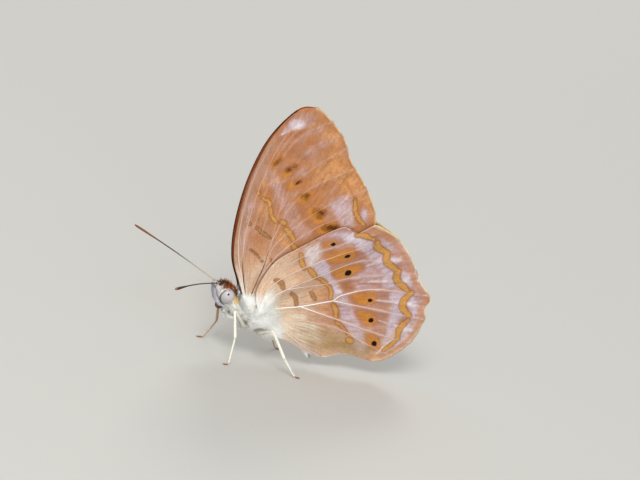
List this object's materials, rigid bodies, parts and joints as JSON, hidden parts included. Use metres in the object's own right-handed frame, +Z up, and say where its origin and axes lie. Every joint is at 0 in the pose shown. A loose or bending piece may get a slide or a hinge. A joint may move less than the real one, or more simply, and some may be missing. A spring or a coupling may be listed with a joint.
{
  "type": "common yeoman butterfly",
  "caption": "Life-size common yeoman butterfly, a nymphalid, standing still with its wings closed upright over its back and its feelers spread forward.",
  "frame": {"origin": "on the floor, halfway along the length and width of the bounding box", "axes": "+Z up, -X the way the head points, -Y the animal's left side, the closed wings in the XZ plane"},
  "size_m": [0.0494, 0.0242, 0.0443],
  "materials": {
    "wing_scales": "matt pink-brown wing scales with a faint silky sheen",
    "body_fur": "soft whitish-grey hair over a brown body",
    "head_scales": "grey-lilac scales and brown hair",
    "eye": "smooth glossy grey compound eye",
    "dark_horn": "dark brown satin horn",
    "leg_scales": "cream scales with orange-brown feet"
  },
  "bodies": {
    "root": {"thorax": "body_fur", "abdomen": "body_fur", "head": "head_scales", "proboscis": "dark_horn", "eye_left": "eye", "palp_left": "head_scales", "antenna_left": "dark_horn", "forewing_left": "wing_scales", "hindwing_left": "wing_scales", "foreleg_left": "leg_scales", "midleg_left": "leg_scales", "hindleg_left": "leg_scales", "eye_right": "eye", "palp_right": "head_scales", "antenna_right": "dark_horn", "forewing_right": "wing_scales", "hindwing_right": "wing_scales", "foreleg_right": "leg_scales", "midleg_right": "leg_scales", "hindleg_right": "leg_scales"}
  },
  "joints": []
}
